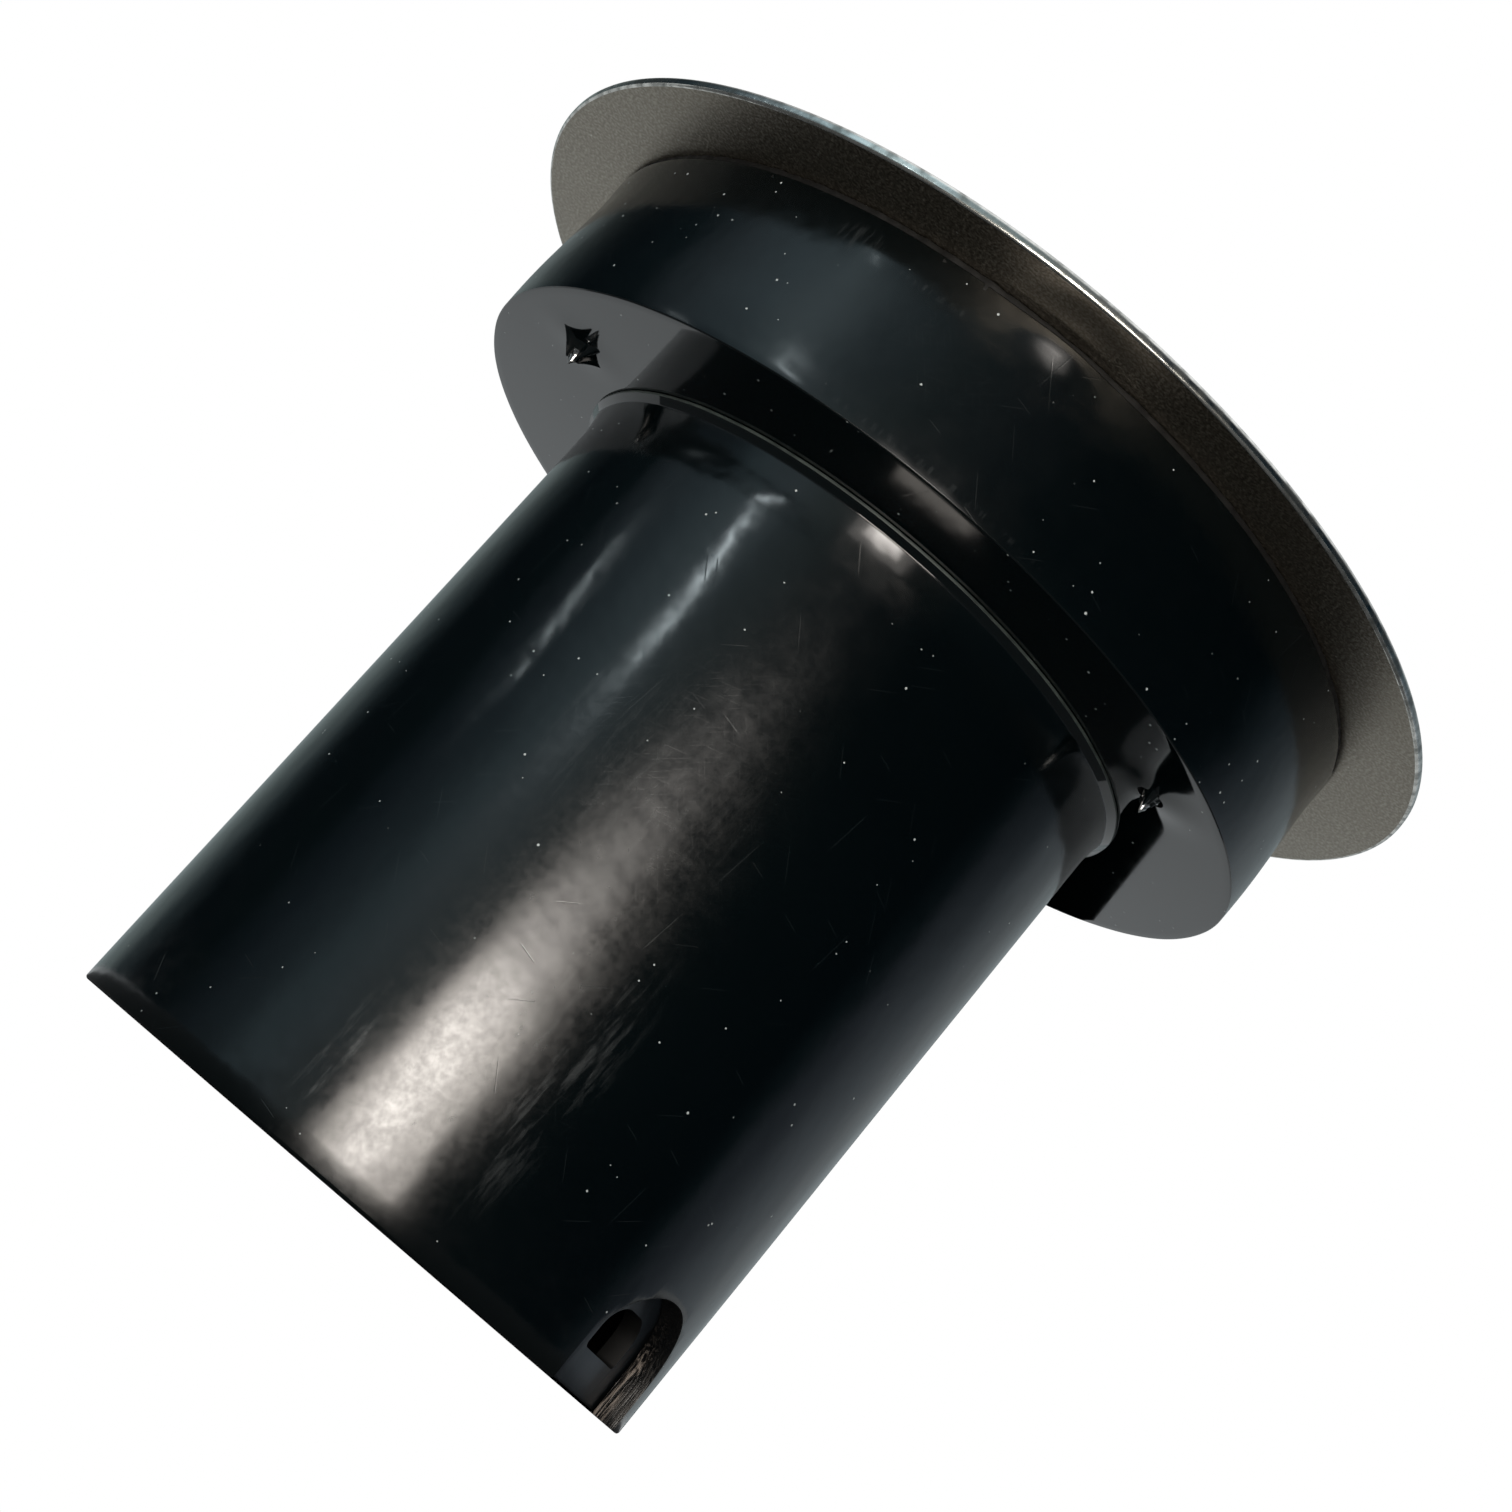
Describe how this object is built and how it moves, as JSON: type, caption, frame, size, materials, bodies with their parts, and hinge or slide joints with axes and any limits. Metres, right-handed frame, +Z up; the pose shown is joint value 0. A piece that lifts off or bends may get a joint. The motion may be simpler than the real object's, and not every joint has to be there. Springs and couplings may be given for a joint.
{
  "type": "garbage disposal cover",
  "caption": "Removable twist-valve cover of a batch-feed kitchen waste disposer: steel plate, black collar and sleeve, turning drum with a port.",
  "frame": {"origin": "on the axis of the cover, at the lower end of the sleeve, which the cover stands on", "axes": "+Z up along the axis, from the sleeve to the cover plate; the sleeve's notch faces 57.5 degrees from -Y towards +X"},
  "size_m": [0.1028, 0.1028, 0.1039],
  "materials": {
    "black_abs": "moulded, satin gloss, lightly scratched",
    "grey_abs": "moulded, semi-matt",
    "stainless_plate": "fine blasted underside, polished rim, brushed top",
    "stainless_small": "turned and pressed",
    "screw_steel": "bright zinc plate",
    "nitrile_rubber": "moulded",
    "white_acetal": "turned",
    "magnet_nickel": "nickel plated"
  },
  "bodies": {
    "housing": {"sleeve_tube": "black_abs", "collar_housing": "black_abs", "cover_plate": "stainless_plate", "plate_gasket": "nitrile_rubber", "plate_screw_1": "screw_steel", "plate_screw_2": "screw_steel", "plate_screw_3": "screw_steel", "bearing_bush": "white_acetal", "thrust_washer": "stainless_small", "stop_stud": "screw_steel"},
    "valve": {"wave_washer": "stainless_small", "spindle": "stainless_small", "spindle_nut": "stainless_small", "lock_washer": "stainless_small", "spindle_seal": "nitrile_rubber", "valve_drum": "grey_abs", "drum_spider": "grey_abs", "drum_floor": "grey_abs", "drum_seal": "nitrile_rubber", "magnet_carrier": "grey_abs", "interlock_magnet_1": "magnet_nickel", "interlock_magnet_2": "magnet_nickel", "interlock_magnet_3": "magnet_nickel", "knob": "black_abs", "knob_cap": "stainless_plate", "knob_screw": "screw_steel"}
  },
  "joints": [
    {"name": "valve_turn", "type": "hinge", "parent": "housing", "child": "valve", "pos_m": [0, 0, 0.0844], "axis": [0, 0, 1], "range_deg": [0, 80]}
  ]
}
